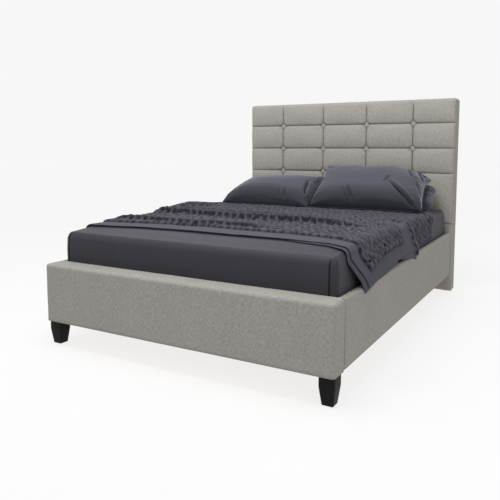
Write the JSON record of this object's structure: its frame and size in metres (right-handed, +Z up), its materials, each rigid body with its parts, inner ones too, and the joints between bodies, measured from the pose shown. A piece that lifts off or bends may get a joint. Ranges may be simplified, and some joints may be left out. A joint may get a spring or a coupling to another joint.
{
  "type": "upholstered headboard bed",
  "caption": "Fabric-upholstered platform bed with a tufted headboard, low footboard, slatted base and made-up mattress with pillows.",
  "frame": {"origin": "on the floor, at the middle of the bed's width and length", "axes": "+X across the bed, to the right of someone at the foot who faces the headboard; +Y from the foot to the headboard; +Z up"},
  "size_m": [1.63, 2.29, 1.37],
  "materials": {
    "linen": "warm grey woven linen-look upholstery",
    "foam": "open-cell upholstery foam",
    "dust_cloth": "black non-woven dust cloth",
    "plywood": "unfinished plywood",
    "pine": "planed unfinished pine",
    "black_wood": "black-brown stained wood, satin lacquer",
    "steel": "zinc-plated pressed steel",
    "black_plastic": "matt moulded plastic",
    "ticking": "off-white mattress ticking",
    "sheet": "dark slate smooth cotton",
    "quilting": "dark slate puckered quilted cotton with plain borders",
    "pillowcase": "dark slate sateen"
  },
  "bodies": {
    "frame": {"headboard_cover": "linen", "headboard_foam": "foam", "headboard_panel": "plywood", "headboard_post_left": "pine", "headboard_post_right": "pine", "headboard_top_rail": "pine", "headboard_bottom_rail": "pine", "headboard_back_cloth": "dust_cloth", "button_1_1": "linen", "button_1_2": "linen", "button_1_3": "linen", "button_1_4": "linen", "button_2_1": "linen", "button_2_2": "linen", "button_2_3": "linen", "button_2_4": "linen", "button_3_1": "linen", "button_3_2": "linen", "button_3_3": "linen", "button_3_4": "linen", "footboard_cover": "linen", "footboard_foam": "foam", "footboard_box": "plywood", "footboard_bottom_batten": "pine", "front_leg_left": "black_wood", "front_leg_right": "black_wood", "leg_plate_left": "steel", "leg_plate_right": "steel", "rail_cover_left": "linen", "rail_cover_right": "linen", "side_rail_left": "pine", "side_rail_right": "pine", "slat_ledger_left": "pine", "slat_ledger_right": "pine", "corner_bracket_head_left": "steel", "corner_bracket_head_right": "steel", "corner_bracket_foot_left": "steel", "corner_bracket_foot_right": "steel", "centre_beam": "pine", "beam_hanger_foot": "steel", "beam_hanger_head": "steel", "centre_leg_1": "pine", "centre_leg_2": "pine", "slat_1": "pine", "slat_2": "pine", "slat_3": "pine", "slat_4": "pine", "slat_5": "pine", "slat_6": "pine", "slat_7": "pine", "slat_8": "pine"},
    "mattress": {"mattress": "ticking", "fitted_sheet": "sheet", "coverlet": "quilting"},
    "throw": {"throw": "quilting"},
    "pillow_left": {"pillow_left": "pillowcase"},
    "pillow_back": {"pillow_back": "pillowcase"},
    "pillow_right": {"pillow_right": "pillowcase"},
    "levelling_foot_1": {"levelling_foot_1": "black_plastic"},
    "levelling_foot_2": {"levelling_foot_2": "black_plastic"}
  },
  "joints": [
    {"name": "mattress_lift", "type": "slide", "parent": "frame", "child": "mattress", "axis": [0, 0, 1], "range_m": [0, 0.4]},
    {"name": "throw_lift", "type": "slide", "parent": "mattress", "child": "throw", "axis": [0, 0, 1], "range_m": [0, 0.3]},
    {"name": "pillow_left_lift", "type": "slide", "parent": "mattress", "child": "pillow_left", "axis": [-0.6, 0, 0.8], "range_m": [0, 0.35]},
    {"name": "pillow_back_lift", "type": "slide", "parent": "mattress", "child": "pillow_back", "axis": [0, 0, 1], "range_m": [0, 0.35]},
    {"name": "pillow_right_lift", "type": "slide", "parent": "pillow_back", "child": "pillow_right", "axis": [0, 0, 1], "range_m": [0, 0.35]},
    {"name": "levelling_foot_1_screw", "type": "slide", "parent": "frame", "child": "levelling_foot_1", "axis": [0, 0, 1], "range_m": [-0.012, 0]},
    {"name": "levelling_foot_2_screw", "type": "slide", "parent": "frame", "child": "levelling_foot_2", "axis": [0, 0, 1], "range_m": [-0.012, 0]}
  ]
}
